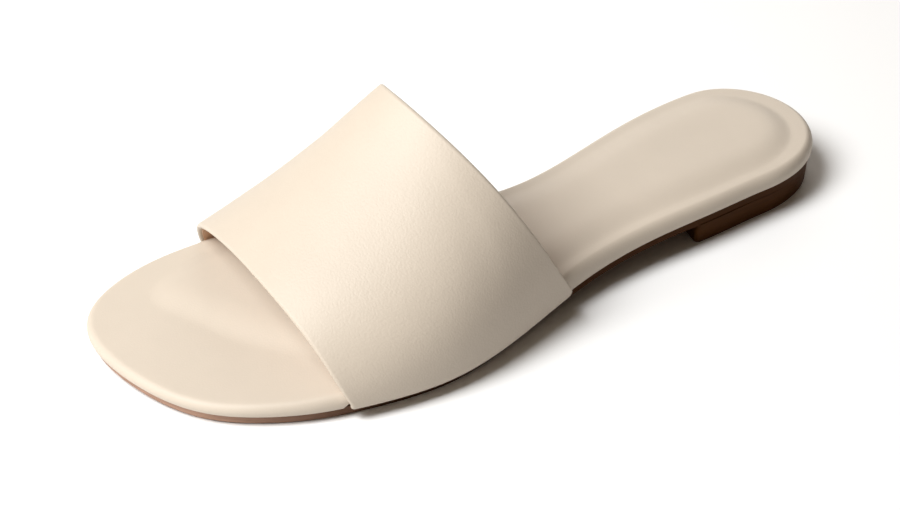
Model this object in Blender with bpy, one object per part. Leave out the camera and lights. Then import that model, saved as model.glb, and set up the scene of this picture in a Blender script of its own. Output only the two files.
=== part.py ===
"""Left slide sandal: a wide leather band over a cushioned footbed, on a thin outsole with a low heel.

The toe points to -Y, the heel to +Y, the outer (little toe) side to +X and up is +Z.
The shoe stands on z = 0, with the origin under the middle of its box.
"""

import math

import bmesh
import bpy
import numpy as np

# Sizes and tables are in millimetres, meshes in metres.
MM = 0.001

# Sole outline, taken along the footbed's edge.
LENGTH = 248.6
TOE_ROUND = 63.0
HEEL_ROUND = 29.1

# Sections of the last from toe to heel.
# share: distance from the toe tip as a share of LENGTH
# middle: how far the section's middle lies to the outer side
# half_width: half the section's width before the toe and the heel close
# edge: thickness of the footbed's side
# rim: width of the flat rim between the footbed's edge and the foot of its cushion
LAST_COLUMNS = ("share", "middle", "half_width", "edge", "rim")
LAST = (
    (0.00, -16.0, 42.0, 3.8, 8.0),
    (0.06, -9.0, 46.4, 3.8, 8.0),
    (0.15, -3.75, 46.8, 4.2, 8.0),
    (0.30, 1.0, 46.3, 5.5, 7.5),
    (0.40, 3.0, 42.7, 6.4, 6.5),
    (0.50, 4.5, 32.2, 7.0, 5.0),
    (0.60, 0.2, 25.5, 6.7, 4.5),
    (0.70, -6.8, 25.9, 6.1, 4.0),
    (0.80, -13.2, 28.4, 5.6, 3.8),
    (0.90, -18.1, 28.7, 5.5, 4.5),
    (1.00, -17.9, 28.6, 5.5, 8.5),
)

# Height of the outsole's top: flat under the ball, lifted at the toe, rising to the heel seat.
FOREFOOT_SEAT = 2.9
TOE_SPRING = 0.8
TOE_SPRING_SHARE = 0.22
HEEL_SEAT = 10.5
RISE_START = 0.36
RISE_END = 0.81

# Outsole and heel block, both set in under the footbed's edge.
# The heel's front face runs slanting from its outer to its inner corner.
SOLE_THICKNESS = FOREFOOT_SEAT
SOLE_INSET = 1.1
SOLE_EDGE_ROUND = 0.5
HEEL_FRONT_OUTER = 68.5
HEEL_FRONT_INNER = 59.5
HEEL_HOLLOW = 2.5
HEEL_INSET = 1.5
HEEL_TAPER = 0.7

# Clear space left between pieces that are cemented together.
GLUE_LINE = 0.3

# Footbed: rounded edge, flat rim, and a cushion that rises inside the rim.
EDGE_ROUND = 3.4
EDGE_TUCK = 0.6
SIDE_SHARE = 0.35
CUSHION_HEIGHT = 2.2
CUSHION_SLOPE = 8.0
CUSHION_INSET = 18.0
CUSHION_FRONT_INNER = (-23.7, -102.0)
CUSHION_FRONT_OUTER = (31.3, -61.5)
CUSHION_FRONT_SLOPE = 13.0

# Band: wall, distance outside the footbed's edge, and the skived margin under the footbed.
WALL = 2.0
BAND_OUT = 2.4
HEM_INNER_RADIUS = 0.4
MARGIN = 9.0
MARGIN_THICKNESS = 1.0
HEM_CORNER = 1.8

# Cut of the band. around: 0 at the outer side's hem, 1 at the inner side's hem.
# front and rear: where the band's two edges lie along the foot.
BAND_CUT_COLUMNS = ("around", "front", "rear")
BAND_CUT = (
    (0.00, -58.2, 18.5),
    (0.25, -65.2, -3.2),
    (0.50, -74.6, -21.2),
    (0.75, -80.7, -13.2),
    (1.00, -79.8, 10.3),
)

# Arch of the band. along: 0 at the front edge, 1 at the rear edge.
# height: top of the arch above the outsole
# lean: shift of the arch's top to the outer side, as a share of its half width
# flank, crown: fullness of the arch at the sides and over the top
BAND_ARCH_COLUMNS = ("along", "height", "lean", "flank", "crown")
BAND_ARCH = (
    (0.0, 25.2, 0.13, 2.08, 1.81),
    (0.5, 41.8, -0.16, 1.89, 2.38),
    (1.0, 60.5, -0.37, 1.89, 1.96),
)

# Facets.
OUTLINE_POINTS = 96
ACROSS_POINTS = 8
ARCH_POINTS = 30
ALONG_POINTS = 16
HEM_POINTS = 3
ROUND_POINTS = 4
RIM_POINTS = 6

# Angle above which two facets keep a visible corner.
SHARP_ANGLE = math.radians(40)

# Colours and roughness of the finishes.
CREAM_BAND = (0.80, 0.69, 0.57, 1.0)
CREAM_FOOTBED = (0.84, 0.73, 0.62, 1.0)
BROWN_SOLE = (0.060, 0.026, 0.014, 1.0)
BROWN_HEEL = (0.050, 0.022, 0.012, 1.0)
SATIN = 0.50
SOFT_SATIN = 0.55
BURNISHED = 0.45


def spline(known, values, at):
    """Natural cubic spline through the rows of a table."""
    known = np.asarray(known, float)
    values = np.asarray(values, float)
    at = np.clip(np.asarray(at, float), known[0], known[-1])
    gap = np.diff(known)
    slope = np.diff(values) / gap
    count = len(known)
    system = np.eye(count)
    bend = np.zeros(count)
    for i in range(1, count - 1):
        system[i, i - 1] = gap[i - 1]
        system[i, i] = 2.0 * (gap[i - 1] + gap[i])
        system[i, i + 1] = gap[i]
        bend[i] = 6.0 * (slope[i] - slope[i - 1])
    curve = np.linalg.solve(system, bend)
    i = np.clip(np.searchsorted(known, at, side="right") - 1, 0, count - 2)
    left = at - known[i]
    right = known[i + 1] - at
    return (
        (curve[i] * right**3 + curve[i + 1] * left**3) / (6.0 * gap[i])
        + (values[i] / gap[i] - curve[i] * gap[i] / 6.0) * right
        + (values[i + 1] / gap[i] - curve[i + 1] * gap[i] / 6.0) * left
    )


def column(table, columns, name, at):
    """A named column of a table, read smoothly at any value of its first column."""
    where = columns.index(name)
    return spline([row[0] for row in table], [row[where] for row in table], at)


def last(name, share):
    return column(LAST, LAST_COLUMNS, name, share)


def cut(name, around):
    return column(BAND_CUT, BAND_CUT_COLUMNS, name, around)


def arch(name, along):
    return column(BAND_ARCH, BAND_ARCH_COLUMNS, name, along)


def smooth(value):
    """Eased step from 0 to 1."""
    value = np.clip(value, 0.0, 1.0)
    return value * value * (3.0 - 2.0 * value)


def share_at(y):
    return y / LENGTH + 0.5


def closing(distance, radius):
    """Share of the full width at a distance from an end that closes as an ellipse."""
    left = 1.0 - np.clip(distance / radius, 0.0, 1.0)
    return np.sqrt(1.0 - left * left)


def half_width(share):
    toe = closing(share * LENGTH, TOE_ROUND)
    heel = closing((1.0 - share) * LENGTH, HEEL_ROUND)
    return last("half_width", share) * toe * heel


def outline(angle):
    """Footbed edge in plan. The angle runs from the toe along the outer side to the heel and back."""
    share = (1.0 - np.cos(angle)) / 2.0
    side = np.where(np.sin(angle) >= 0.0, 1.0, -1.0)
    x = last("middle", share) + side * half_width(share)
    y = (share - 0.5) * LENGTH
    return np.stack([x, y], axis=-1)


def outward(angle):
    """Unit normal of the outline, pointing away from the shoe."""
    step = 1e-3
    along = outline(angle + step) - outline(angle - step)
    normal = np.stack([along[..., 1], -along[..., 0]], axis=-1)
    return normal / np.linalg.norm(normal, axis=-1, keepdims=True)


def angle_at(y, side):
    """Outline angle at a place along the foot, on the outer (1) or inner (-1) side."""
    angle = np.arccos(np.clip(-2.0 * y / LENGTH, -1.0, 1.0))
    return np.where(side > 0, angle, 2.0 * math.pi - angle)


def seat(y):
    """Height of the outsole's top along the foot."""
    share = share_at(y)
    spring = np.clip((TOE_SPRING_SHARE - share) / TOE_SPRING_SHARE, 0.0, 1.0) ** 2
    rise = smooth((share - RISE_START) / (RISE_END - RISE_START))
    return FOREFOOT_SEAT + TOE_SPRING * spring + (HEEL_SEAT - FOREFOOT_SEAT) * rise


def lifted(plan, height):
    """Plan points with a height above the outsole's top."""
    z = seat(plan[..., 1]) + height
    return np.concatenate([plan, z[..., None]], axis=-1)


def add_grid(mesh, points, closed=False):
    """Quads between the rows of a grid of points, closed round its columns if asked."""
    rows = [[mesh.verts.new(point * MM) for point in row] for row in points]
    count = len(rows[0])
    steps = count if closed else count - 1
    for lower, upper in zip(rows, rows[1:]):
        for i in range(steps):
            j = (i + 1) % count
            mesh.faces.new((lower[i], lower[j], upper[j], upper[i]))


def add_object(name, mesh, colour, roughness):
    """Welds a mesh's seams, turns its faces out and makes it an object with its own material."""
    weld = 1e-3 * MM
    bmesh.ops.remove_doubles(mesh, verts=mesh.verts, dist=weld)
    bmesh.ops.dissolve_degenerate(mesh, edges=mesh.edges, dist=weld)
    bmesh.ops.recalc_face_normals(mesh, faces=mesh.faces)
    data = bpy.data.meshes.new(name)
    mesh.to_mesh(data)
    mesh.free()
    data.shade_smooth()
    data.set_sharp_from_angle(angle=SHARP_ANGLE)
    material = bpy.data.materials.new(name)
    material.use_nodes = True
    shader = material.node_tree.nodes["Principled BSDF"]
    shader.inputs["Base Color"].default_value = colour
    shader.inputs["Roughness"].default_value = roughness
    shader.inputs["Metallic"].default_value = 0.0
    data.materials.append(material)
    made = bpy.data.objects.new(name, data)
    bpy.context.scene.collection.objects.link(made)
    return made


def outline_angles():
    return np.arange(OUTLINE_POINTS) * (2.0 * math.pi / OUTLINE_POINTS)


def inset_ring(angles, inset):
    return outline(angles) - outward(angles) * inset


def across(ring, count):
    """Rows of points from the outer to the inner side of a closed ring, one row for each place along it."""
    half = len(ring) // 2
    outer = ring[: half + 1]
    inner = ring[(-np.arange(half + 1)) % len(ring)]
    share = np.linspace(0.0, 1.0, count)[None, :, None]
    return outer[:, None] * (1.0 - share) + inner[:, None] * share


def make_outsole():
    angles = outline_angles()
    mesh = bmesh.new()
    rings = (
        (SOLE_INSET + SOLE_EDGE_ROUND, -SOLE_THICKNESS),
        (SOLE_INSET, SOLE_EDGE_ROUND - SOLE_THICKNESS),
        (SOLE_INSET, 0.0),
    )
    side = [lifted(inset_ring(angles, inset), height) for inset, height in rings]
    add_grid(mesh, side, closed=True)
    for ring, height in ((side[0], -SOLE_THICKNESS), (side[-1], 0.0)):
        add_grid(mesh, lifted(across(ring[:, :2], ACROSS_POINTS // 2), height))
    return add_object("outsole", mesh, BROWN_SOLE, BURNISHED)


def make_heel():
    """Heel block: a D in plan, its front face slanting and hollowed, its top following the outsole."""
    turns = np.linspace(0.0, 1.0, OUTLINE_POINTS // 4)
    outer_start = float(angle_at(HEEL_FRONT_OUTER, 1))
    inner_start = float(angle_at(HEEL_FRONT_INNER, -1))
    outer_angles = outer_start + (math.pi - outer_start) * turns
    inner_angles = inner_start + (math.pi - inner_start) * turns
    share = np.linspace(0.0, 1.0, ACROSS_POINTS + 1)
    hollow = HEEL_HOLLOW * (1.0 - (2.0 * share - 1.0) ** 2)
    fade = smooth(1.0 - 2.0 * turns)
    mesh = bmesh.new()
    levels = []
    for inset in (HEEL_INSET + HEEL_TAPER, HEEL_INSET):
        outer = inset_ring(outer_angles, inset)
        inner = inset_ring(inner_angles, inset)
        plan = outer[:, None] * (1.0 - share[None, :, None]) + inner[:, None] * share[None, :, None]
        plan[..., 1] += fade[:, None] * hollow[None, :]
        levels.append(lifted(plan, -SOLE_THICKNESS - GLUE_LINE))
    bottom, top = levels
    bottom[..., 2] = 0.0
    add_grid(mesh, bottom)
    add_grid(mesh, top)
    for edge in (np.s_[:, 0], np.s_[:, -1], np.s_[0, :]):
        add_grid(mesh, [bottom[edge], top[edge]])
    return add_object("heel", mesh, BROWN_HEEL, BURNISHED)


def cushion(plan, inset):
    """Height of the cushion above the rim: it rises inside the rim and starts behind a slanting front."""
    inner = np.array(CUSHION_FRONT_INNER)
    front = np.array(CUSHION_FRONT_OUTER) - inner
    back = np.array([-front[1], front[0]]) / np.linalg.norm(front)
    behind = (plan - inner) @ back
    rise = smooth((inset - last("rim", share_at(plan[..., 1]))) / CUSHION_SLOPE)
    return CUSHION_HEIGHT * rise * smooth(behind / CUSHION_FRONT_SLOPE + 0.5)


def footbed_top(plan, inset):
    edge = last("edge", share_at(plan[..., 1]))
    return lifted(plan, edge + cushion(plan, inset))


def hem_span(side):
    """Where the band's margin lies under the footbed on one side, with its clearance."""
    around = 0.0 if side > 0 else 1.0
    clear = WALL / 2.0 + 2.0 * GLUE_LINE
    return float(cut("front", around)) - clear, float(cut("rear", around)) + clear


def footbed_angles():
    """Outline angles with two close ones at each end of the rebates, so that the rebates end square."""
    angles = list(outline_angles())
    ends = []
    step = 0.4
    for side in (1, -1):
        for y in hem_span(side):
            ends += [float(angle_at(y - step, 1)), float(angle_at(y + step, 1))]
    near = math.pi / OUTLINE_POINTS
    half = [a for a in angles if a <= math.pi + near / 2.0]
    half = [a for a in half if all(abs(a - end) > near for end in ends)]
    half = sorted(half + ends)
    return np.array(half + [2.0 * math.pi - a for a in half[-2:0:-1]])


def rebate_depth(angles):
    """Height of the rebate under the footbed's edge: full along the band's margins, none elsewhere."""
    side = np.where(np.sin(angles) >= 0.0, 1, -1)
    y = outline(angles)[:, 1]
    depth = np.zeros(len(angles))
    for which in (1, -1):
        first, second = hem_span(which)
        depth[(side == which) & (y > first) & (y < second)] = MARGIN_THICKNESS + GLUE_LINE
    return depth


def make_footbed():
    angles = footbed_angles()
    count = len(angles)
    rebate = rebate_depth(angles)
    edge = last("edge", share_at(outline(angles)[:, 1]))
    low = GLUE_LINE + rebate
    margin_end = MARGIN + WALL + HEM_INNER_RADIUS - BAND_OUT + 2.0 * GLUE_LINE

    def ring(inset, height):
        return lifted(inset_ring(angles, inset), height)

    wall_start = low + SIDE_SHARE * (edge - low)
    rings = [
        ring(margin_end + GLUE_LINE, np.full(count, GLUE_LINE)),
        ring(margin_end, low),
        ring(EDGE_TUCK, low),
        ring(0.0, low + SIDE_SHARE / 2.0 * (edge - low)),
    ]
    for turn in np.linspace(0.0, math.pi / 2.0, ROUND_POINTS + 1):
        inset = EDGE_ROUND * (1.0 - math.cos(turn))
        rings.append(ring(inset, wall_start + (edge - wall_start) * math.sin(turn)))
    for inset in np.linspace(EDGE_ROUND, CUSHION_INSET, RIM_POINTS + 1)[1:]:
        rings.append(footbed_top(inset_ring(angles, inset), inset))
    mesh = bmesh.new()
    add_grid(mesh, rings, closed=True)
    add_grid(mesh, lifted(across(rings[0][:, :2], ACROSS_POINTS // 2), GLUE_LINE))
    add_grid(mesh, footbed_top(across(rings[-1][:, :2], ACROSS_POINTS), CUSHION_INSET))
    return add_object("footbed", mesh, CREAM_FOOTBED, SOFT_SATIN)


def band_place(around, along):
    """Place along the foot of a point of the band, its rear hem corners rounded off."""
    hem = np.minimum(around, 1.0 - around) * math.pi * arch("height", along)
    corner = HEM_CORNER * (1.0 - closing(hem, HEM_CORNER))
    return cut("front", around) * (1.0 - along) + (cut("rear", around) - corner) * along


def band_surface(around, along):
    """Outer face of the band: a full arch over the foot, standing BAND_OUT outside the footbed's edge."""
    y = band_place(around, along)
    share = share_at(y)
    outer, inner = outward(angle_at(y, 1)), outward(angle_at(y, -1))
    high = last("middle", share) + half_width(share) + BAND_OUT / outer[..., 0]
    low = last("middle", share) - half_width(share) + BAND_OUT / inner[..., 0]
    turn = np.pi * around
    cosine, sine = np.cos(turn), np.clip(np.sin(turn), 0.0, 1.0)
    half = (high - low) / 2.0
    flank = np.sign(cosine) * np.abs(cosine) ** (2.0 / arch("flank", along))
    x = (high + low) / 2.0 + half * (flank + arch("lean", along) * sine**2)
    base = seat(y) + GLUE_LINE + WALL + HEM_INNER_RADIUS
    z = base + arch("height", along) * sine ** (2.0 / arch("crown", along))
    return np.stack([x, y, z], axis=-1)


def band_normal(around, along):
    """Unit normal of the band's outer face, pointing away from the foot."""
    step = 1e-3
    a0, a1 = np.clip(around - step, 0.0, 1.0), np.clip(around + step, 0.0, 1.0)
    s0, s1 = np.clip(along - step, 0.0, 1.0), np.clip(along + step, 0.0, 1.0)
    turn = band_surface(a1, along) - band_surface(a0, along)
    run = band_surface(around, s1) - band_surface(around, s0)
    normal = np.cross(run, turn)
    return normal / np.linalg.norm(normal, axis=-1, keepdims=True)


def hem_section(along, side):
    """Outer and inner faces of one hem, from the arch's foot round its turn to the end of the margin."""
    around = np.full(len(along), 0.0 if side > 0 else 1.0)
    foot = band_surface(around, along)
    away = outward(angle_at(foot[:, 1], side))
    radius = WALL + HEM_INNER_RADIUS
    outer, inner = [], []
    for turn in np.linspace(0.0, math.pi / 2.0, HEM_POINTS + 1):
        share = turn / (math.pi / 2.0)
        reach = HEM_INNER_RADIUS * (1.0 - share) + (radius - MARGIN_THICKNESS) * share
        for faces, size in ((outer, radius), (inner, reach)):
            plan = foot[:, :2] - away * (radius - size * math.cos(turn))
            faces.append(lifted(plan, GLUE_LINE + radius - size * math.sin(turn)))
    for inset in (MARGIN / 2.0, MARGIN):
        plan = foot[:, :2] - away * (radius + inset)
        outer.append(lifted(plan, GLUE_LINE))
        inner.append(lifted(plan, GLUE_LINE + MARGIN_THICKNESS))
    return outer, inner


def rolled_edge(outer, inner, ahead):
    """Rows of a half-round edge from the outer to the inner face, standing out along the band."""
    middle = (outer + inner) / 2.0
    spread = (outer - inner) / 2.0
    out = ahead * np.linalg.norm(spread, axis=-1, keepdims=True)
    turns = np.linspace(0.0, math.pi, ROUND_POINTS + 1)
    return [middle + spread * math.cos(turn) + out * math.sin(turn) for turn in turns]


def make_upper_band():
    along = np.linspace(0.0, 1.0, ALONG_POINTS + 1)
    around = np.linspace(0.0, 1.0, ARCH_POINTS + 1)
    grid_around, grid_along = np.meshgrid(around, along, indexing="ij")
    arch_outer = band_surface(grid_around, grid_along)
    arch_inner = arch_outer - band_normal(grid_around, grid_along) * WALL
    lateral = hem_section(along, 1)
    medial = hem_section(along, -1)
    outer = np.array(lateral[0][:0:-1] + list(arch_outer) + medial[0][1:])
    inner = np.array(lateral[1][:0:-1] + list(arch_inner) + medial[1][1:])
    mesh = bmesh.new()
    add_grid(mesh, outer)
    add_grid(mesh, inner)
    for end, before in ((0, 1), (-1, -2)):
        ahead = outer[:, end] - outer[:, before]
        ahead /= np.linalg.norm(ahead, axis=-1, keepdims=True)
        add_grid(mesh, rolled_edge(outer[:, end], inner[:, end], ahead))
    for end in (0, -1):
        rows = [outer[end], inner[end]]
        add_grid(mesh, rows)
        for tip, before in ((0, 1), (-1, -2)):
            ahead = outer[end, tip] - outer[end, before]
            ahead /= np.linalg.norm(ahead)
            roll = rolled_edge(outer[end, tip], inner[end, tip], ahead)
            mesh.faces.new([mesh.verts.new(point * MM) for point in roll])
    return add_object("upper_band", mesh, CREAM_BAND, SATIN)


for old in list(bpy.data.objects):
    bpy.data.objects.remove(old)
make_outsole()
make_heel()
make_footbed()
make_upper_band()
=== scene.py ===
import math

import bmesh
import bpy
import numpy as np
from mathutils import Matrix, Vector


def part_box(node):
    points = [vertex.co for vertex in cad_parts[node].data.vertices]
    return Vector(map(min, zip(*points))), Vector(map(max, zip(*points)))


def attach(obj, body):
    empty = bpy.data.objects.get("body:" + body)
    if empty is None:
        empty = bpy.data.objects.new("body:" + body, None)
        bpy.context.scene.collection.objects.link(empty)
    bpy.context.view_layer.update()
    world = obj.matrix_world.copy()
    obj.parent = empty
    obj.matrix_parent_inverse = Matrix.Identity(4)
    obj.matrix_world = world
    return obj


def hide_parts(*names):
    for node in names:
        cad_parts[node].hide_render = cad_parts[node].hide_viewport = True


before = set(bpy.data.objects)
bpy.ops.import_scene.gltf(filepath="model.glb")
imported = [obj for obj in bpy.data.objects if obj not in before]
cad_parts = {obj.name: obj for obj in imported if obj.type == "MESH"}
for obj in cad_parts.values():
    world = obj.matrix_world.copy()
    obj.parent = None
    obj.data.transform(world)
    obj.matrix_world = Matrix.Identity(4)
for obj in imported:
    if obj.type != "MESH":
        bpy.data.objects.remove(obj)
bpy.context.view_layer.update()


# Footbed: a board and a thin foam cushion, wrapped in one piece of smooth cream leather.
# The cover is drawn over the edge and cemented underneath, so the edge is round. The cushion
# stops short of the edge and of the toes, and shows as a soft rise inside a flat rim.

# Sizes are in millimetres, meshes in metres.
MM = 0.001
footbed_low, footbed_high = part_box("footbed")
LENGTH = (footbed_high.y - footbed_low.y) / MM
TOE_ROUND = 63.0
HEEL_ROUND = 29.1

# Sections of the last from toe to heel: distance from the toe tip as a share of LENGTH, the section's
# middle to the outer side, half its width, thickness of the footbed's side, width of the flat rim.
LAST_COLUMNS = ("share", "middle", "half_width", "edge", "rim")
LAST = (
    (0.00, -16.0, 42.0, 3.8, 7.0),
    (0.06, -9.0, 46.4, 3.8, 6.5),
    (0.15, -3.75, 46.8, 4.2, 6.0),
    (0.30, 1.0, 46.3, 5.5, 6.0),
    (0.40, 3.0, 42.7, 6.4, 6.0),
    (0.50, 4.5, 32.2, 7.0, 5.4),
    (0.60, 0.2, 25.5, 6.7, 5.0),
    (0.70, -6.8, 25.9, 6.1, 4.7),
    (0.80, -13.2, 28.4, 5.6, 4.6),
    (0.90, -18.1, 28.7, 5.5, 5.2),
    (1.00, -17.9, 28.6, 5.5, 8.0),
)

# Height of the outsole's top, on which the footbed is cemented.
FOREFOOT_SEAT = 2.9
TOE_SPRING = 0.8
TOE_SPRING_SHARE = 0.22
HEEL_SEAT = 10.5
RISE_START = 0.36
RISE_END = 0.81

GLUE_LINE = 0.3
EDGE_ROUND = 2.6
EDGE_TUCK = 0.6
SIDE_SHARE = 0.35
CUSHION_HEIGHT = 1.9
CUSHION_INSET = 20.0
CUSHION_FRONT_SLOPE = 19.0

# Foot of the cushion's front, from the inner to the outer side of the foot.
CUSHION_FRONT_COLUMNS = ("x", "y")
CUSHION_FRONT = (
    (-46.0, -80.0),
    (-33.0, -98.5),
    (-22.0, -103.5),
    (-10.0, -96.5),
    (10.0, -82.0),
    (30.0, -60.5),
    (45.0, -42.0),
)

# The rebate under the footbed's edge takes the band's turned-in margin: where it starts and ends on
# the outer and inner side, how far in it goes and how high it is.
REBATE_OUTER = (-60.2, 15.8)
REBATE_INNER = (-81.6, 8.2)
REBATE_DEPTH = 9.6
REBATE_HEIGHT = 1.3
REBATE_RAMP = 0.8

# Soft troughs and ridges of the cover: middle of each in plan, its heading from the foot's length,
# half length, half width and depth. A ridge has a depth below zero.
COVER_CREASE_COLUMNS = ("x", "y", "heading", "long", "wide", "depth")
COVER_CREASES = (
    (-5.0, 40.0, 78.0, 12.0, 4.0, 0.06),
    (-9.0, 52.0, 70.0, 10.0, 4.5, -0.05),
    (-16.0, 84.0, 15.0, 16.0, 6.0, 0.08),
    (-20.0, 104.0, 80.0, 10.0, 5.0, -0.06),
    (6.0, 22.0, 20.0, 9.0, 3.0, 0.06),
)

# Small gathers where the cover is drawn round the outer end of the cushion's front: the row's first and
# last places in plan, number, heading, half length, half width and height of each.
GATHER_FIRST = (20.0, -71.0)
GATHER_LAST = (31.0, -60.0)
GATHER_COUNT = 9
GATHER_SHAPE = (74.0, 2.0, 0.55, -0.09)

OUTLINE_POINTS = 400
EDGE_POINTS = 12
RIM_POINTS = 30
ACROSS_POINTS = 44
WELD = 1e-4
SHARP_ANGLE = 50.0

CREAM_FOOTBED = (0.558, 0.486, 0.404, 1.0)

# Finish of the leathers: gloss, how far the dye and the gloss vary, and how many waves of sag and of dye
# there are in a millimetre.
LEATHER_SPECULAR = 0.35
DYE_SPREAD = (0.965, 1.03)
GLOSS_SPREAD = 0.06
SAG_WAVES = 0.11
DYE_WAVES = 0.06


def spline(known, values, at):
    """Natural cubic spline through the rows of a table."""
    known = np.asarray(known, float)
    values = np.asarray(values, float)
    at = np.clip(np.asarray(at, float), known[0], known[-1])
    gap = np.diff(known)
    slope = np.diff(values) / gap
    count = len(known)
    system = np.eye(count)
    bend = np.zeros(count)
    for i in range(1, count - 1):
        system[i, i - 1] = gap[i - 1]
        system[i, i] = 2.0 * (gap[i - 1] + gap[i])
        system[i, i + 1] = gap[i]
        bend[i] = 6.0 * (slope[i] - slope[i - 1])
    curve = np.linalg.solve(system, bend)
    i = np.clip(np.searchsorted(known, at, side="right") - 1, 0, count - 2)
    left = at - known[i]
    right = known[i + 1] - at
    return (
        (curve[i] * right**3 + curve[i + 1] * left**3) / (6.0 * gap[i])
        + (values[i] / gap[i] - curve[i] * gap[i] / 6.0) * right
        + (values[i + 1] / gap[i] - curve[i + 1] * gap[i] / 6.0) * left
    )


def column(table, columns, name, at):
    """A named column of a table, read smoothly at any value of its first column."""
    where = columns.index(name)
    return spline([row[0] for row in table], [row[where] for row in table], at)


def last(name, share):
    return column(LAST, LAST_COLUMNS, name, share)


def smooth(value):
    """Eased step from 0 to 1."""
    value = np.clip(value, 0.0, 1.0)
    return value * value * (3.0 - 2.0 * value)


def crowned(value):
    """Rise from 0 to 1 that is steep near its start and eases slowly into its top."""
    left = 1.0 - np.clip(value, 0.0, 1.0)
    return 1.0 - left**4 * (5.0 - 4.0 * left)


def share_at(y):
    return y / LENGTH + 0.5


def closing(distance, radius):
    """Share of the full width at a distance from an end that closes as an ellipse."""
    left = 1.0 - np.clip(distance / radius, 0.0, 1.0)
    return np.sqrt(1.0 - left * left)


def half_width(share):
    toe = closing(share * LENGTH, TOE_ROUND)
    heel = closing((1.0 - share) * LENGTH, HEEL_ROUND)
    return last("half_width", share) * toe * heel


def outline(angle):
    """Footbed edge in plan. The angle runs from the toe along the outer side to the heel and back."""
    share = (1.0 - np.cos(angle)) / 2.0
    side = np.where(np.sin(angle) >= 0.0, 1.0, -1.0)
    x = last("middle", share) + side * half_width(share)
    y = (share - 0.5) * LENGTH
    return np.stack([x, y], axis=-1)


def outward(angle):
    """Unit normal of the outline, pointing away from the shoe."""
    step = 1e-3
    along = outline(angle + step) - outline(angle - step)
    normal = np.stack([along[..., 1], -along[..., 0]], axis=-1)
    return normal / np.linalg.norm(normal, axis=-1, keepdims=True)


def angle_at(y, side):
    """Outline angle at a place along the foot, on the outer (1) or inner (-1) side."""
    angle = np.arccos(np.clip(-2.0 * y / LENGTH, -1.0, 1.0))
    return np.where(side > 0, angle, 2.0 * math.pi - angle)


def seat(y):
    """Height of the outsole's top along the foot."""
    share = share_at(y)
    spring = np.clip((TOE_SPRING_SHARE - share) / TOE_SPRING_SHARE, 0.0, 1.0) ** 2
    rise = smooth((share - RISE_START) / (RISE_END - RISE_START))
    return FOREFOOT_SEAT + TOE_SPRING * spring + (HEEL_SEAT - FOREFOOT_SEAT) * rise


def lifted(plan, height):
    """Plan points with a height above the outsole's top."""
    z = seat(plan[..., 1]) + height
    return np.concatenate([plan, z[..., None]], axis=-1)


def inset_ring(angles, inset):
    return outline(angles) - outward(angles) * inset


def across(ring, count):
    """Rows of points from the outer to the inner side of a closed ring, one row for each place along it."""
    half = len(ring) // 2
    outer = ring[: half + 1]
    inner = ring[(-np.arange(half + 1)) % len(ring)]
    share = np.linspace(0.0, 1.0, count)[None, :, None]
    return outer[:, None] * (1.0 - share) + inner[:, None] * share


def trough(along, sideways, long, wide, depth):
    """A soft trough, deepest in its middle and fading out at its ends."""
    return -depth * np.exp(-((along / long) ** 2) - (sideways / wide) ** 2)


def cover_creases(plan):
    height = np.zeros(plan.shape[:-1])
    gathers = np.linspace(GATHER_FIRST, GATHER_LAST, GATHER_COUNT)
    for row in COVER_CREASES + tuple(tuple(place) + GATHER_SHAPE for place in gathers):
        crease = dict(zip(COVER_CREASE_COLUMNS, row))
        turn = math.radians(crease["heading"])
        x = plan[..., 0] - crease["x"]
        y = plan[..., 1] - crease["y"]
        along = y * math.cos(turn) - x * math.sin(turn)
        sideways = x * math.cos(turn) + y * math.sin(turn)
        height += trough(along, sideways, crease["long"], crease["wide"], crease["depth"])
    return height


def cushion_front(x):
    return column(CUSHION_FRONT, CUSHION_FRONT_COLUMNS, "y", x)


def cushion(plan, inset):
    """Height of the cushion above the rim: it rises inside the rim and behind its slanting front."""
    x, y = plan[..., 0], plan[..., 1]
    slant = cushion_front(x + 0.5) - cushion_front(x - 0.5)
    behind = (y - cushion_front(x)) / np.sqrt(1.0 + slant * slant)
    rim = last("rim", share_at(y))
    rise = crowned((inset - rim) / (CUSHION_INSET - rim))
    front_rise = crowned(behind / CUSHION_FRONT_SLOPE)
    return CUSHION_HEIGHT * rise * front_rise


def footbed_top(plan, inset):
    edge = last("edge", share_at(plan[..., 1]))
    settled = smooth((inset - EDGE_ROUND) / EDGE_ROUND)
    return lifted(plan, edge + cushion(plan, inset) + settled * cover_creases(plan))


def footbed_angles():
    """Outline angles with two close ones at each end of the rebates, so that the rebates end steeply."""
    ends = []
    for y in REBATE_OUTER + REBATE_INNER:
        ends += [float(angle_at(y - REBATE_RAMP, 1)), float(angle_at(y + REBATE_RAMP, 1))]
    half = np.arange(OUTLINE_POINTS // 2 + 1) * (2.0 * math.pi / OUTLINE_POINTS)
    near = math.pi / OUTLINE_POINTS
    half = [a for a in half if all(abs(a - end) > near for end in ends)]
    half = sorted(half + ends)
    return np.array(half + [2.0 * math.pi - a for a in half[-2:0:-1]])


def rebate(angles):
    """Height of the rebate under the footbed's edge: full along the band's margins, none elsewhere."""
    y = outline(angles)[:, 1]
    height = np.zeros(len(angles))
    for side, (first, second) in ((1.0, REBATE_OUTER), (-1.0, REBATE_INNER)):
        here = (np.sin(angles) * side >= 0.0) & (y > first) & (y < second)
        height[here] = REBATE_HEIGHT
    return height


def quads(rows, columns, closed):
    """Corners of the quads between the rows of a grid, closed round its columns if asked."""
    steps = columns if closed else columns - 1
    i = np.arange(rows - 1)[:, None] * columns
    j = np.arange(steps)[None, :]
    k = (j + 1) % columns
    return np.stack([i + j, i + k, i + columns + k, i + columns + j], axis=-1).reshape(-1, 4)


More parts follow.
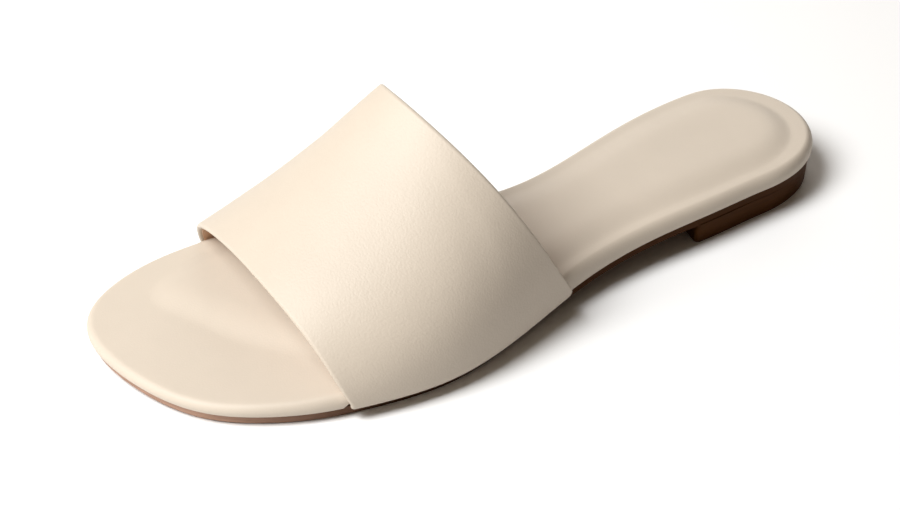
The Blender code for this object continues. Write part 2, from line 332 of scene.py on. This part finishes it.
def new_piece(name, grids, material):
    """Joins grids of points into one smooth mesh, and hangs it on the shoe with its finish."""
    points, faces, count = [], [], 0
    for grid, closed in grids:
        grid = np.asarray(grid, float)
        points.append(grid.reshape(-1, 3) * MM)
        faces.append(quads(grid.shape[0], grid.shape[1], closed) + count)
        count += grid.shape[0] * grid.shape[1]
    data = bpy.data.meshes.new(name)
    data.from_pydata(np.concatenate(points), [], np.concatenate(faces).tolist())
    mesh = bmesh.new()
    mesh.from_mesh(data)
    bmesh.ops.remove_doubles(mesh, verts=mesh.verts, dist=WELD * MM)
    bmesh.ops.dissolve_degenerate(mesh, edges=mesh.edges, dist=WELD * MM)
    bmesh.ops.recalc_face_normals(mesh, faces=mesh.faces)
    mesh.to_mesh(data)
    mesh.free()
    data.shade_smooth()
    data.set_sharp_from_angle(angle=math.radians(SHARP_ANGLE))
    data.materials.append(material)
    piece = bpy.data.objects.new(name, data)
    bpy.context.scene.collection.objects.link(piece)
    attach(piece, "root")
    return piece


def add_node(tree, kind, **values):
    """A shader node with its options and its sockets' values set by name."""
    node = tree.nodes.new(kind)
    for name, value in values.items():
        if name in node.inputs:
            node.inputs[name].default_value = value
        else:
            setattr(node, name, value)
    return node


def add_range(tree, to, start=(0.0, 1.0)):
    """A shader node that turns values of one range into those of another."""
    node = tree.nodes.new("ShaderNodeMapRange")
    for name, value in zip(("From Min", "From Max", "To Min", "To Max"), start + to):
        node.inputs[name].default_value = value
    return node


def leather(name, colour, roughness, cell, depth):
    """Dyed leather: small raised cells of grain, finer pores between them, and a faintly uneven dye."""
    made = bpy.data.materials.new(name)
    made.use_nodes = True
    tree = made.node_tree
    link = tree.links.new
    shader = tree.nodes["Principled BSDF"]
    shader.inputs["Specular IOR Level"].default_value = LEATHER_SPECULAR
    where = add_node(tree, "ShaderNodeTexCoord")
    warp = add_node(tree, "ShaderNodeTexNoise", Scale=0.35 / (cell * MM), Detail=2.0)
    bent = add_node(tree, "ShaderNodeMixRGB", blend_type="LINEAR_LIGHT", Fac=0.5 * cell * MM)
    link(where.outputs["Object"], warp.inputs["Vector"])
    link(where.outputs["Object"], bent.inputs["Color1"])
    link(warp.outputs["Color"], bent.inputs["Color2"])
    grain = add_node(tree, "ShaderNodeTexVoronoi", feature="SMOOTH_F1", Scale=1.0 / (cell * MM))
    pores = add_node(tree, "ShaderNodeTexNoise", Scale=3.0 / (cell * MM), Detail=3.0)
    sag = add_node(tree, "ShaderNodeTexNoise", Scale=SAG_WAVES / MM, Detail=2.0)
    for texture in (grain, pores):
        link(bent.outputs["Color"], texture.inputs["Vector"])
    link(where.outputs["Object"], sag.inputs["Vector"])
    low = add_node(tree, "ShaderNodeBump", Strength=0.6, Distance=2.0 * depth * MM)
    mid = add_node(tree, "ShaderNodeBump", Strength=1.0, Distance=depth * MM, invert=True)
    fine = add_node(tree, "ShaderNodeBump", Strength=0.5, Distance=0.5 * depth * MM)
    link(sag.outputs["Fac"], low.inputs["Height"])
    link(grain.outputs["Distance"], mid.inputs["Height"])
    link(pores.outputs["Fac"], fine.inputs["Height"])
    link(low.outputs["Normal"], mid.inputs["Normal"])
    link(mid.outputs["Normal"], fine.inputs["Normal"])
    link(fine.outputs["Normal"], shader.inputs["Normal"])
    dye = add_node(tree, "ShaderNodeTexNoise", Scale=DYE_WAVES / MM, Detail=4.0, Roughness=0.6)
    deep, pale = (tuple(share * part for part in colour[:3]) + (1.0,) for share in DYE_SPREAD)
    shade = add_node(tree, "ShaderNodeMixRGB", Color1=deep, Color2=pale)
    link(where.outputs["Object"], dye.inputs["Vector"])
    link(dye.outputs["Fac"], shade.inputs["Fac"])
    link(shade.outputs["Color"], shader.inputs["Base Color"])
    gloss = add_range(tree, (roughness - GLOSS_SPREAD, roughness + GLOSS_SPREAD))
    link(pores.outputs["Fac"], gloss.inputs["Value"])
    link(gloss.outputs["Result"], shader.inputs["Roughness"])
    return made


footbed_leather = leather("footbed_leather", CREAM_FOOTBED, roughness=0.52, cell=0.55, depth=0.022)

angles = footbed_angles()
edge_height = last("edge", share_at(outline(angles)[:, 1]))
underside = GLUE_LINE + rebate(angles)
side_foot = underside + SIDE_SHARE / 2.0 * (edge_height - underside)
side_top = underside + SIDE_SHARE * (edge_height - underside)
rings = [
    lifted(inset_ring(angles, REBATE_DEPTH + GLUE_LINE), np.full(len(angles), GLUE_LINE)),
    lifted(inset_ring(angles, REBATE_DEPTH), underside),
]
for turn in np.linspace(0.0, math.pi / 2.0, EDGE_POINTS // 3 + 1):
    inset = EDGE_TUCK * (1.0 - math.sin(turn))
    rings.append(lifted(inset_ring(angles, inset), side_foot - (side_foot - underside) * math.cos(turn)))
for turn in np.linspace(0.0, math.pi / 2.0, EDGE_POINTS + 1):
    inset = EDGE_ROUND * (1.0 - math.cos(turn))
    rings.append(lifted(inset_ring(angles, inset), side_top + (edge_height - side_top) * math.sin(turn)))
for inset in np.linspace(EDGE_ROUND, CUSHION_INSET, RIM_POINTS + 1)[1:]:
    rings.append(footbed_top(inset_ring(angles, inset), inset))
footbed_grids = (
    (rings, True),
    (lifted(across(rings[0][:, :2], ACROSS_POINTS), GLUE_LINE), False),
    (footbed_top(across(rings[-1][:, :2], ACROSS_POINTS), CUSHION_INSET), False),
)
footbed = new_piece("footbed_cover", footbed_grids, footbed_leather)
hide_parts("footbed")


# Band: the upper, one wide piece of soft cream leather, drawn over the instep and folded at both edges.
# Its lower margins are turned in and cemented between footbed and outsole. It is lined inside.
WALL = 2.0
BAND_OUT = 2.4
HEM_INNER_RADIUS = 0.4
MARGIN = 9.0
MARGIN_THICKNESS = 1.0
HEM_CORNER = 4.0

# Cut of the band. around: 0 at the outer side's hem, 1 at the inner side's hem.
BAND_CUT_COLUMNS = ("around", "front", "rear")
BAND_CUT = (
    (0.00, -58.2, 17.9),
    (0.25, -65.2, -3.2),
    (0.50, -74.6, -21.2),
    (0.75, -80.7, -13.2),
    (1.00, -79.8, 10.3),
)

# Arch of the band, from its front edge (0) to its rear edge (1): height above the outsole, lean of the
# top to the outer side as a share of its half width, fullness at the sides and over the top.
BAND_ARCH_COLUMNS = ("along", "height", "lean", "flank", "crown")
BAND_ARCH = (
    (0.0, 25.2, 0.13, 2.08, 1.81),
    (0.5, 41.8, -0.16, 1.89, 2.38),
    (1.0, 60.5, -0.37, 1.89, 1.96),
)

# Soft troughs and ridges of the band: place around and along it, heading from its length, half length
# and half width in millimetres, and depth. A ridge has a depth below zero.
BAND_CREASE_COLUMNS = ("around", "along", "heading", "long", "wide", "depth")
BAND_CREASES = (
    (0.10, 0.55, 20.0, 26.0, 7.0, 0.10),
    (0.20, 0.80, 65.0, 16.0, 5.0, 0.10),
    (0.26, 0.90, 80.0, 18.0, 3.0, -0.08),
    (0.36, 0.62, 35.0, 20.0, 8.0, 0.10),
    (0.62, 0.45, 15.0, 24.0, 8.0, 0.20),
    (0.72, 0.75, 40.0, 18.0, 6.0, 0.15),
    (0.92, 0.30, 10.0, 20.0, 6.0, 0.15),
    (0.94, 0.88, 75.0, 8.0, 2.5, 0.20),
)

# The creases fade out near the hems, within this share of the way around.
HEM_FADE = 0.04

BAND_AROUND_POINTS = 210
BAND_ALONG_POINTS = 96
BAND_BUNCHING = 0.8
HEM_POINTS = 8
FOLD_POINTS = 8

CREAM_BAND = (0.548, 0.477, 0.395, 1.0)


def cut(name, around):
    return column(BAND_CUT, BAND_CUT_COLUMNS, name, around)


def arch(name, along):
    return column(BAND_ARCH, BAND_ARCH_COLUMNS, name, along)


def hem_corner(height):
    """How far the band's rear edge is cut back, at a height above its hem, to round its lower corner."""
    return HEM_CORNER * (1.0 - closing(height, HEM_CORNER))


def band_surface(around, along):
    """Outer face of the band: a full arch over the foot, standing BAND_OUT outside the footbed's edge."""
    turn = np.pi * around
    cosine, sine = np.cos(turn), np.clip(np.sin(turn), 0.0, 1.0)
    rise = arch("height", along) * sine ** (2.0 / arch("crown", along))
    rear = cut("rear", around) - hem_corner(rise + WALL + HEM_INNER_RADIUS)
    y = cut("front", around) * (1.0 - along) + rear * along
    share = share_at(y)
    outer, inner = outward(angle_at(y, 1)), outward(angle_at(y, -1))
    high = last("middle", share) + half_width(share) + BAND_OUT / outer[..., 0]
    low = last("middle", share) - half_width(share) + BAND_OUT / inner[..., 0]
    half = (high - low) / 2.0
    flank = np.sign(cosine) * np.abs(cosine) ** (2.0 / arch("flank", along))
    x = (high + low) / 2.0 + half * (flank + arch("lean", along) * sine**2)
    z = seat(y) + GLUE_LINE + WALL + HEM_INNER_RADIUS + rise
    return np.stack([x, y, z], axis=-1)


def band_normal(around, along):
    """Unit normal of the band's outer face, pointing away from the foot."""
    step = 1e-3
    a0, a1 = np.clip(around - step, 0.0, 1.0), np.clip(around + step, 0.0, 1.0)
    s0, s1 = np.clip(along - step, 0.0, 1.0), np.clip(along + step, 0.0, 1.0)
    turn = band_surface(a1, along) - band_surface(a0, along)
    run = band_surface(around, s1) - band_surface(around, s0)
    normal = np.cross(run, turn)
    return normal / np.linalg.norm(normal, axis=-1, keepdims=True)


def hem_section(along, side):
    """Outer and inner faces of one hem, from the arch's foot round its turn to the end of the margin.
    Its rear corner is rounded off."""
    around = np.full(len(along), 0.0 if side > 0 else 1.0)
    length = float(cut("rear", around[0]) - cut("front", around[0]))
    radius = WALL + HEM_INNER_RADIUS
    outer, inner = [], []
    for turn in np.linspace(0.0, math.pi / 2.0, HEM_POINTS + 1):
        corner = hem_corner(radius * (1.0 - math.sin(turn))) - hem_corner(radius)
        foot = band_surface(around, along * (1.0 - corner / length))
        away = outward(angle_at(foot[:, 1], side))
        share = turn / (math.pi / 2.0)
        reach = HEM_INNER_RADIUS * (1.0 - share) + (radius - MARGIN_THICKNESS) * share
        for faces, size in ((outer, radius), (inner, reach)):
            plan = foot[:, :2] - away * (radius - size * math.cos(turn))
            faces.append(lifted(plan, GLUE_LINE + radius - size * math.sin(turn)))
    for inset in (MARGIN / 2.0, MARGIN):
        plan = foot[:, :2] - away * (radius + inset)
        outer.append(lifted(plan, GLUE_LINE))
        inner.append(lifted(plan, GLUE_LINE + MARGIN_THICKNESS))
    return outer, inner


def band_creases(points, normals):
    """Height of the band's creases at the points of its grid."""
    step = 0.01
    height = np.zeros(points.shape[:-1])
    for row in BAND_CREASES:
        crease = dict(zip(BAND_CREASE_COLUMNS, row))
        here = np.array([crease["around"]]), np.array([crease["along"]])
        ahead = here[0], here[1] + step
        middle = band_surface(*here)[0]
        up = band_normal(*here)[0]
        length = band_surface(*ahead)[0] - middle
        length /= np.linalg.norm(length)
        aside = np.cross(up, length)
        turn = math.radians(crease["heading"])
        heading = length * math.cos(turn) + aside * math.sin(turn)
        square = np.cross(up, heading)
        offset = points - middle
        facing = np.clip(normals @ up, 0.0, 1.0)
        height += facing * trough(
            offset @ heading, offset @ square, crease["long"], crease["wide"], crease["depth"]
        )
    return height


def folded_edge(outer, inner, ahead):
    """Rows of a round edge from the outer to the inner face, standing out half a wall along the band."""
    middle = (outer + inner) / 2.0
    spread = (outer - inner) / 2.0
    turns = np.linspace(0.0, math.pi, FOLD_POINTS + 1)
    return [middle + spread * math.cos(turn) + ahead * (WALL / 2.0 * math.sin(turn)) for turn in turns]


def eased(count, bunching):
    """Shares from 0 to 1, closer together towards both ends."""
    even = np.linspace(0.0, 1.0, count + 1)
    return even - bunching * np.sin(2.0 * math.pi * even) / (2.0 * math.pi)


band_leather = leather("band_leather", CREAM_BAND, roughness=0.50, cell=0.65, depth=0.052)

along = eased(BAND_ALONG_POINTS, BAND_BUNCHING)
around = np.linspace(0.0, 1.0, BAND_AROUND_POINTS + 1)
around_grid, along_grid = np.meshgrid(around, along, indexing="ij")
arch_surface = band_surface(around_grid, along_grid)
arch_normal = band_normal(around_grid, along_grid)
crease_height = band_creases(arch_surface, arch_normal)[..., None]
hem_fade = smooth(np.minimum(around_grid, 1.0 - around_grid) / HEM_FADE)[..., None]
arch_outer = arch_surface + arch_normal * crease_height * hem_fade
arch_inner = arch_surface - arch_normal * WALL
outer_hem = hem_section(along, 1)
inner_hem = hem_section(along, -1)
band_outer = np.array(outer_hem[0][:0:-1] + list(arch_outer) + inner_hem[0][1:])
band_inner = np.array(outer_hem[1][:0:-1] + list(arch_inner) + inner_hem[1][1:])
band_grids = [(band_outer, False), (band_inner, False)]
for end, before in ((0, 1), (-1, -2)):
    ahead = band_outer[:, end] - band_outer[:, before]
    ahead /= np.linalg.norm(ahead, axis=-1, keepdims=True)
    band_grids.append((folded_edge(band_outer[:, end], band_inner[:, end], ahead), False))
for end in (0, -1):
    band_grids.append(([band_outer[end], band_inner[end]], False))
band = new_piece("band_leather_upper", band_grids, band_leather)
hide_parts("upper_band")


# Lining: thin tan leather cemented inside the band, cut back from the folds at both edges.
# Its lower edges go down beside the footbed.
LINING_THICKNESS = 0.4
LINING_CLEAR = 0.05
LINING_SETBACK = 0.3
LINING_FOOT = 1.2
ARCH_RADIUS = 30.0
LINING_AROUND_POINTS = 210
LINING_ALONG_POINTS = 48
TAN_LINING = (0.66, 0.43, 0.29, 1.0)


def row_lengths(rows):
    """Length of each row of a grid of points."""
    return np.linalg.norm(np.diff(rows, axis=1), axis=-1).sum(axis=1, keepdims=True)


lining_leather = leather("lining_leather", TAN_LINING, roughness=0.65, cell=0.5, depth=0.02)

rim_share = np.linspace(0.0, 1.0, LINING_ALONG_POINTS + 1)
lining_around = np.linspace(0.0, 1.0, LINING_AROUND_POINTS + 1)
foot_share = LINING_FOOT / ARCH_RADIUS / math.pi
lining_around = foot_share + (1.0 - 2.0 * foot_share) * lining_around
grid_around, grid_share = np.meshgrid(lining_around, rim_share, indexing="ij")
setback = LINING_SETBACK / row_lengths(band_surface(grid_around, grid_share))
grid_along = setback + (1.0 - 2.0 * setback) * grid_share
lining_surface = band_surface(grid_around, grid_along)
lining_normal = band_normal(grid_around, grid_along)
lining_back = lining_surface - lining_normal * (WALL + LINING_CLEAR)
lining_face = lining_surface - lining_normal * (WALL + LINING_CLEAR + LINING_THICKNESS)
lining_grids = [(lining_back, False), (lining_face, False)]
for end in (0, -1):
    lining_grids.append(([lining_back[end], lining_face[end]], False))
    lining_grids.append(([lining_back[:, end], lining_face[:, end]], False))
lining = new_piece("band_lining", lining_grids, lining_leather)


# Outsole: a thin dark brown sole under the whole shoe, cemented to footbed and margins.
# Its edge is trimmed a little inside the footbed's, dyed and burnished, and painted paler at the toe as a
# painted highlight.
SOLE_THICKNESS = FOREFOOT_SEAT
SOLE_INSET = 1.1
SOLE_EDGE_ROUND = 0.5
SOLE_EDGE_HOLD = 0.1
SOLE_EDGE_LEAST = 0.05
SOLE_EDGE_FADE = 6.0
SOLE_SEAM = 0.02
HEEL_START = 62.0
SOLE_EDGE_POINTS = 4
SOLE_ACROSS_POINTS = 24
BROWN_SOLE = (0.052, 0.019, 0.0055, 1.0)
# Paler brown painted on towards the toe: a painted highlight for the light on the toe's edge.
BROWN_PAINTED_HIGHLIGHT = (0.36, 0.225, 0.165, 1.0)
PAINTED_HIGHLIGHT_START = -45.0
PAINTED_HIGHLIGHT_END = -100.0

# Finish of the browns: gloss, how far the layers' shade and the gloss vary, how much the layers are drawn
# out along the shoe, specks in a millimetre and the height of the scuffs.
BROWN_SPECULAR = 0.03
LAYER_SPREAD = (0.7, 1.35)
BROWN_GLOSS_SPREAD = 0.1
LAYER_DRAW = (0.08, 0.08, 1.0)
SPECKS = 1.4
SCUFF_HEIGHT = 0.03


def burnished(name, colour, toe_highlight_colour, roughness, layer):
    """Dyed and burnished sole leather, painted paler towards the toe as a painted highlight: faint layers
    along its edge, small scuffs and uneven gloss."""
    made = bpy.data.materials.new(name)
    made.use_nodes = True
    tree = made.node_tree
    link = tree.links.new
    shader = tree.nodes["Principled BSDF"]
    shader.inputs["Specular IOR Level"].default_value = BROWN_SPECULAR
    where = add_node(tree, "ShaderNodeTexCoord")
    place = add_node(tree, "ShaderNodeMapping")
    place.inputs["Scale"].default_value = LAYER_DRAW
    layers = add_node(tree, "ShaderNodeTexNoise", Scale=1.0 / (layer * MM), Detail=3.0)
    specks = add_node(tree, "ShaderNodeTexNoise", Scale=SPECKS / MM, Detail=4.0)
    split = add_node(tree, "ShaderNodeSeparateXYZ")
    # Painted highlight: the base colour turns from the dark dye to the paler brown towards the toe.
    painted_highlight = add_range(tree, (0.0, 1.0), start=(PAINTED_HIGHLIGHT_START * MM, PAINTED_HIGHLIGHT_END * MM))
    dye = add_node(tree, "ShaderNodeMixRGB", Color1=colour, Color2=toe_highlight_colour)
    shade = add_node(tree, "ShaderNodeMixRGB", blend_type="MULTIPLY", Fac=1.0)
    spread = add_range(tree, LAYER_SPREAD)
    gloss = add_range(tree, (roughness - BROWN_GLOSS_SPREAD, roughness + BROWN_GLOSS_SPREAD))
    rough = add_node(tree, "ShaderNodeBump", Strength=0.5, Distance=SCUFF_HEIGHT * MM)
    link(where.outputs["Object"], place.inputs["Vector"])
    link(place.outputs["Vector"], layers.inputs["Vector"])
    link(where.outputs["Object"], specks.inputs["Vector"])
    link(where.outputs["Object"], split.inputs["Vector"])
    link(split.outputs["Y"], painted_highlight.inputs["Value"])
    link(painted_highlight.outputs["Result"], dye.inputs["Fac"])
    link(layers.outputs["Fac"], spread.inputs["Value"])
    link(dye.outputs["Color"], shade.inputs["Color1"])
    link(spread.outputs["Result"], shade.inputs["Color2"])
    link(shade.outputs["Color"], shader.inputs["Base Color"])
    link(specks.outputs["Fac"], gloss.inputs["Value"])
    link(gloss.outputs["Result"], shader.inputs["Roughness"])
    link(specks.outputs["Fac"], rough.inputs["Height"])
    link(rough.outputs["Normal"], shader.inputs["Normal"])
    return made


sole_leather = burnished("sole_leather", BROWN_SOLE, BROWN_PAINTED_HIGHLIGHT, roughness=0.45, layer=0.6)

sole_angles = np.arange(OUTLINE_POINTS) * (2.0 * math.pi / OUTLINE_POINTS)
edge_round = 1.0 - smooth((outline(sole_angles)[:, 1] - HEEL_START) / SOLE_EDGE_FADE)
edge_round = SOLE_EDGE_ROUND * np.maximum(SOLE_EDGE_LEAST, edge_round)[:, None]
sole_top = GLUE_LINE - SOLE_SEAM
sole_side = []
for turn in np.linspace(0.0, math.pi / 2.0, SOLE_EDGE_POINTS + 1):
    plan = inset_ring(sole_angles, SOLE_INSET + edge_round * (1.0 - math.sin(turn)))
    sole_side.append(lifted(plan, edge_round[:, 0] * (1.0 - math.cos(turn)) - SOLE_THICKNESS))
for height in (SOLE_EDGE_ROUND + SOLE_EDGE_HOLD - SOLE_THICKNESS, sole_top):
    sole_side.append(lifted(inset_ring(sole_angles, SOLE_INSET), height))
sole_grids = (
    (sole_side, True),
    (lifted(across(sole_side[0][:, :2], SOLE_ACROSS_POINTS), -SOLE_THICKNESS), False),
    (lifted(across(sole_side[-1][:, :2], SOLE_ACROSS_POINTS), sole_top), False),
)
outsole = new_piece("outsole_trimmed", sole_grids, sole_leather)
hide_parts("outsole")


# Heel: a low block of dark brown leather, cemented under the back of the outsole.
# Its front face is slanted and hollowed, and its side is trimmed flush with the outsole and burnished.
HEEL_FRONT_OUTER = 68.5
HEEL_FRONT_INNER = 59.5
HEEL_HOLLOW = 2.5
HEEL_INSET = SOLE_INSET
HEEL_TAPER = 0.7
HEEL_CHAMFER = 0.4
HEEL_CORNER = 1.4
HEEL_TURN_POINTS = 90
HEEL_ACROSS_POINTS = 40
HEEL_BUNCHING = 0.9
BROWN_HEEL = (0.052, 0.019, 0.0055, 1.0)

heel_leather = burnished("heel_leather", BROWN_HEEL, BROWN_HEEL, roughness=0.45, layer=0.9)

turns = np.linspace(0.0, 1.0, HEEL_TURN_POINTS + 1)
heel_start = float(angle_at(HEEL_FRONT_OUTER, 1)), float(angle_at(HEEL_FRONT_INNER, -1))
heel_angles = [start + (math.pi - start) * turns for start in heel_start]
heel_share = eased(HEEL_ACROSS_POINTS, HEEL_BUNCHING)
heel_hollow = HEEL_HOLLOW * (1.0 - (2.0 * heel_share - 1.0) ** 2)
heel_fade = smooth(1.0 - 2.0 * turns)[:, None]
heel_levels = []
for inset, height, setback in (
    (HEEL_INSET + HEEL_TAPER + HEEL_CHAMFER, 0.0, HEEL_CHAMFER),
    (HEEL_INSET + HEEL_TAPER, HEEL_CHAMFER, 0.0),
    (HEEL_INSET, None, 0.0),
):
    outer, inner = (inset_ring(angle, inset) for angle in heel_angles)
    plan = outer[:, None] * (1.0 - heel_share[None, :, None]) + inner[:, None] * heel_share[None, :, None]
    width = np.linalg.norm(outer[0] - inner[0])
    corner = HEEL_CORNER * (1.0 - closing(np.minimum(heel_share, 1.0 - heel_share) * width, HEEL_CORNER))
    plan[..., 1] += heel_fade * (heel_hollow + corner + setback)[None, :]
    level = lifted(plan, -SOLE_THICKNESS - SOLE_SEAM)
    if height is not None:
        level[..., 2] = height
    heel_levels.append(level)
heel_grids = [(heel_levels[0], False), (heel_levels[-1], False)]
for side in (np.s_[:, 0], np.s_[:, -1], np.s_[0, :]):
    heel_grids.append(([level[side] for level in heel_levels], False))
heel = new_piece("heel_block", heel_grids, heel_leather)
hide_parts("heel")


# Floor: a plain sheet of white studio board, large enough to have no visible end.
# Away from the shoe it glows with painted light, so that it stays as pale as it is under the softboxes.
FLOOR_HALF = 6.0
FLOOR_PAINTED_LIGHT = 0.95
FLOOR_PAINTED_LIGHT_START = 0.45
FLOOR_PAINTED_LIGHT_END = 1.6
FLOOR_WHITE = (0.97, 0.96, 0.945, 1.0)
FLOOR_ROUGHNESS = 0.9
FLOOR_SPECULAR = 0.1

floor_mesh = bpy.data.meshes.new("floor")
floor_corners = [(-FLOOR_HALF, -FLOOR_HALF, 0.0), (FLOOR_HALF, -FLOOR_HALF, 0.0)]
floor_corners += [(FLOOR_HALF, FLOOR_HALF, 0.0), (-FLOOR_HALF, FLOOR_HALF, 0.0)]
floor_mesh.from_pydata(floor_corners, [], [(0, 1, 2, 3)])
floor_paint = bpy.data.materials.new("floor_white")
floor_paint.use_nodes = True
floor_paint.cycles.emission_sampling = "NONE"
floor_shader = floor_paint.node_tree.nodes["Principled BSDF"]
floor_shader.inputs["Base Color"].default_value = FLOOR_WHITE
floor_shader.inputs["Roughness"].default_value = FLOOR_ROUGHNESS
floor_shader.inputs["Specular IOR Level"].default_value = FLOOR_SPECULAR
floor_shader.inputs["Emission Color"].default_value = (1.0, 1.0, 1.0, 1.0)
floor_tree = floor_paint.node_tree
floor_place = add_node(floor_tree, "ShaderNodeTexCoord")
floor_reach = add_node(floor_tree, "ShaderNodeVectorMath", operation="LENGTH")
# Painted light: the floor's emission grows with its distance from the shoe.
floor_painted_light = add_range(floor_tree, (0.0, FLOOR_PAINTED_LIGHT), start=(FLOOR_PAINTED_LIGHT_START, FLOOR_PAINTED_LIGHT_END))
floor_tree.links.new(floor_place.outputs["Object"], floor_reach.inputs[0])
floor_tree.links.new(floor_reach.outputs["Value"], floor_painted_light.inputs["Value"])
floor_tree.links.new(floor_painted_light.outputs["Result"], floor_shader.inputs["Emission Strength"])
floor_mesh.materials.append(floor_paint)
floor = bpy.data.objects.new("floor", floor_mesh)
bpy.context.scene.collection.objects.link(floor)


# Light: a tall softbox beyond the toes, a smaller one beside it that lights the shoe alone, a broad weak
# one behind the inner side, one that lights the floor alone, and faint warm light from the room's walls.
ROOM_LIGHT = 0.10
ROOM_WARMTH = (1.0, 0.80, 0.60, 1.0)

# Turn and tilt are in degrees as seen from the shoe, sizes in metres, power in watts.
SOFTBOX_COLUMNS = ("name", "turn", "tilt", "distance", "width", "height", "power", "colour", "lights")
SOFTBOXES = (
    ("toe_softbox", 268.0, 56.0, 1.05, 0.45, 0.70, 10.4, (0.97, 0.985, 1.0), ("shoe", "floor")),
    ("side_softbox", 284.0, 43.0, 0.85, 0.36, 0.60, 5.2, (1.0, 0.97, 0.92), ("shoe",)),
    ("back_softbox", 150.0, 22.0, 1.40, 1.20, 0.70, 6.7, (1.0, 0.97, 0.92), ("shoe", "floor")),
    ("floor_softbox", 257.0, 64.0, 1.20, 0.50, 0.70, 5.6, (0.96, 0.98, 1.0), ("floor",)),
)
LIT_PIECES = {"shoe": (footbed, band, lining, outsole, heel), "floor": (floor,)}

scene = bpy.context.scene
scene.view_settings.view_transform = "Standard"
scene.view_settings.look = "None"
room = bpy.data.worlds.new("studio_room")
room.use_nodes = True
room.node_tree.nodes["Background"].inputs["Color"].default_value = ROOM_WARMTH
room.node_tree.nodes["Background"].inputs["Strength"].default_value = ROOM_LIGHT
scene.world = room
for row in SOFTBOXES:
    softbox = dict(zip(SOFTBOX_COLUMNS, row))
    turn = math.radians(softbox["turn"])
    tilt = math.radians(softbox["tilt"])
    way = Vector((math.cos(turn) * math.cos(tilt), math.sin(turn) * math.cos(tilt), math.sin(tilt)))
    lamp = bpy.data.lights.new(softbox["name"], "AREA")
    lamp.shape = "RECTANGLE"
    lamp.size = softbox["width"]
    lamp.size_y = softbox["height"]
    lamp.energy = softbox["power"]
    lamp.color = softbox["colour"]
    stand = bpy.data.objects.new(softbox["name"], lamp)
    stand.location = way * softbox["distance"]
    stand.rotation_euler = (-way).to_track_quat("-Z", "Y").to_euler()
    scene.collection.objects.link(stand)
    lit = bpy.data.collections.new(softbox["name"] + "_lights")
    for group in softbox["lights"]:
        for piece in LIT_PIECES[group]:
            lit.objects.link(piece)
    stand.light_linking.receiver_collection = lit


# Camera: a short telephoto lens on a stand at the outer side, looking down on the shoe.
# Its place is in metres. Its right and up directions turn it, with no shift.
CAMERA_PLACE = (0.41003, -0.13858, 0.34187)
CAMERA_RIGHT = (0.34397, 0.93682, -0.06367)
CAMERA_UP = (-0.5567, 0.25806, 0.78962)
LENS = 68.76
SENSOR_WIDTH = 36.0

camera_data = bpy.data.cameras.new("camera")
camera_data.sensor_width = SENSOR_WIDTH
camera_data.lens = LENS
camera = bpy.data.objects.new("camera", camera_data)
right = Vector(CAMERA_RIGHT).normalized()
up = Vector(CAMERA_UP).normalized()
turned = Matrix((right, up, right.cross(up))).transposed()
camera.matrix_world = Matrix.Translation(CAMERA_PLACE) @ turned.to_4x4()
scene.collection.objects.link(camera)
scene.camera = camera
